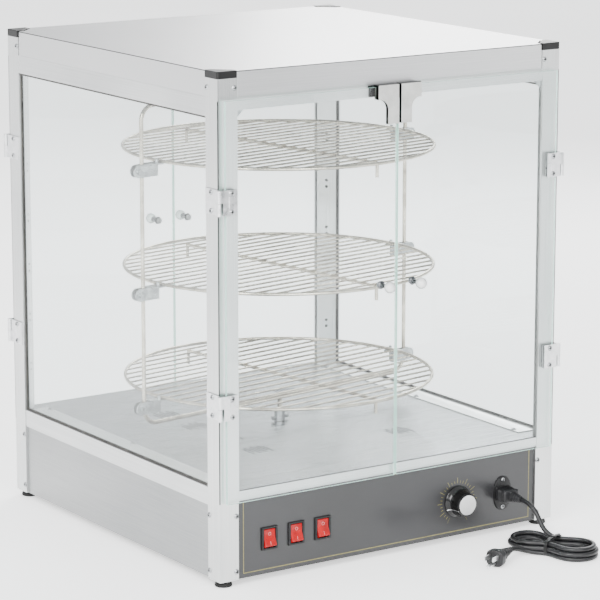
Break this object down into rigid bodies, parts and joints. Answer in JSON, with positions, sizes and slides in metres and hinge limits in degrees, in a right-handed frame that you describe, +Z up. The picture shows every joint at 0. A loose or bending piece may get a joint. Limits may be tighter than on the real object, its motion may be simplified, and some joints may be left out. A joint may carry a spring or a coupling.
{
  "type": "hot food display case",
  "caption": "Heated countertop display case with glass doors front and rear and a turning three-tier wire rack.",
  "frame": {"origin": "middle of the case on the surface it stands on, without the power cord", "axes": "+X right along the front, -Y out of the front doors, +Z up"},
  "size_m": [0.582, 0.7871, 0.704],
  "materials": {
    "post_aluminium": "satin anodised extrusion",
    "rail_aluminium": "satin extrusion",
    "brushed_steel": "brushed along its length",
    "plain_steel": "plain rolled sheet",
    "screw_steel": "plated",
    "element_steel": "heat-stained sheath",
    "rod_nickel": "nickel-plated wire",
    "hinge_chrome": "bright chrome",
    "latch_steel": "satin",
    "black_plastic": "moulded",
    "knob_plastic": "moulded phenolic",
    "knob_white": "polished",
    "rocker_red": "translucent red",
    "panel_black": "gloss black with a thin border line",
    "foot_rubber": "moulded",
    "gasket_rubber": "extruded",
    "cord_rubber": "PVC sheath",
    "bush_brass": "turned",
    "lamp_glass": "frosted",
    "side_glass": "clear tempered",
    "door_glass": "clear tempered, polished edges"
  },
  "bodies": {
    "case": {"corner_posts": "post_aluminium", "corner_caps": "black_plastic", "feet": "foot_rubber", "roof_cover": "brushed_steel", "ceiling_panel": "plain_steel", "top_side_rails": "rail_aluminium", "top_cross_rails": "rail_aluminium", "corner_gussets": "plain_steel", "bottom_side_rails": "rail_aluminium", "bottom_cross_rails": "rail_aluminium", "side_glasses": "side_glass", "glass_gaskets": "gasket_rubber", "side_panels": "brushed_steel", "control_panel": "panel_black", "rear_panel": "brushed_steel", "deck_plate": "brushed_steel", "base_pan": "plain_steel", "case_screws": "screw_steel", "heating_element": "element_steel", "gear_motor": "plain_steel", "motor_bracket": "plain_steel", "deck_bush": "bush_brass", "oven_lamp": "lamp_glass", "thermostat": "plain_steel", "switch_housings": "black_plastic", "power_inlet": "black_plastic", "post_hinge_leaves": "hinge_chrome", "hinge_pins": "screw_steel", "magnet_catches": "black_plastic", "cord_connector": "cord_rubber", "cord_lead": "cord_rubber", "cord_hank": "cord_rubber", "cord_plug": "cord_rubber"},
    "front_left_door": {"front_left_door_glass": "door_glass", "front_left_door_clamps": "hinge_chrome", "front_left_door_knob": "knob_white", "front_left_latch_plate": "latch_steel"},
    "front_right_door": {"front_right_door_glass": "door_glass", "front_right_door_clamps": "hinge_chrome", "front_right_door_knob": "knob_white", "front_right_latch_plate": "latch_steel"},
    "rear_left_door": {"rear_left_door_glass": "door_glass", "rear_left_door_clamps": "hinge_chrome", "rear_left_door_knob": "knob_white", "rear_left_latch_plate": "latch_steel"},
    "rear_right_door": {"rear_right_door_glass": "door_glass", "rear_right_door_clamps": "hinge_chrome", "rear_right_door_knob": "knob_white", "rear_right_latch_plate": "latch_steel"},
    "rack": {"motor_shaft": "screw_steel", "hub_collar": "plain_steel", "rack_carrier": "rod_nickel", "shelf_top": "rod_nickel", "shelf_middle": "rod_nickel", "shelf_bottom": "rod_nickel", "shelf_brackets": "plain_steel"},
    "heat_rocker_body": {"heat_rocker": "rocker_red"},
    "light_rocker_body": {"light_rocker": "rocker_red"},
    "turntable_rocker_body": {"turntable_rocker": "rocker_red"},
    "thermostat_knob_body": {"thermostat_knob": "knob_plastic"}
  },
  "joints": [
    {"name": "front_left_door_hinge", "type": "hinge", "parent": "case", "child": "front_left_door", "pos_m": [-0.288, -0.292, 0.392], "axis": [0, 0, -1], "range_deg": [0, 110]},
    {"name": "front_right_door_hinge", "type": "hinge", "parent": "case", "child": "front_right_door", "pos_m": [0.288, -0.292, 0.392], "axis": [0, 0, 1], "range_deg": [0, 110]},
    {"name": "rear_left_door_hinge", "type": "hinge", "parent": "case", "child": "rear_left_door", "pos_m": [-0.288, 0.292, 0.392], "axis": [0, 0, 1], "range_deg": [0, 110]},
    {"name": "rear_right_door_hinge", "type": "hinge", "parent": "case", "child": "rear_right_door", "pos_m": [0.288, 0.292, 0.392], "axis": [0, 0, -1], "range_deg": [0, 110]},
    {"name": "rack_spin", "type": "hinge", "parent": "case", "child": "rack", "pos_m": [0, 0, 0.135], "axis": [0, 0, 1], "continuous": true},
    {"name": "heat_rocker_tilt", "type": "hinge", "parent": "case", "child": "heat_rocker_body", "pos_m": [-0.204, -0.2788, 0.059], "axis": [1, 0, 0], "range_deg": [0, 22]},
    {"name": "light_rocker_tilt", "type": "hinge", "parent": "case", "child": "light_rocker_body", "pos_m": [-0.16, -0.2788, 0.059], "axis": [1, 0, 0], "range_deg": [0, 22]},
    {"name": "turntable_rocker_tilt", "type": "hinge", "parent": "case", "child": "turntable_rocker_body", "pos_m": [-0.116, -0.2788, 0.059], "axis": [1, 0, 0], "range_deg": [0, 22]},
    {"name": "thermostat_knob_turn", "type": "hinge", "parent": "case", "child": "thermostat_knob_body", "pos_m": [0.117, -0.29, 0.059], "axis": [0, 1, 0], "range_deg": [0, 270]}
  ]
}
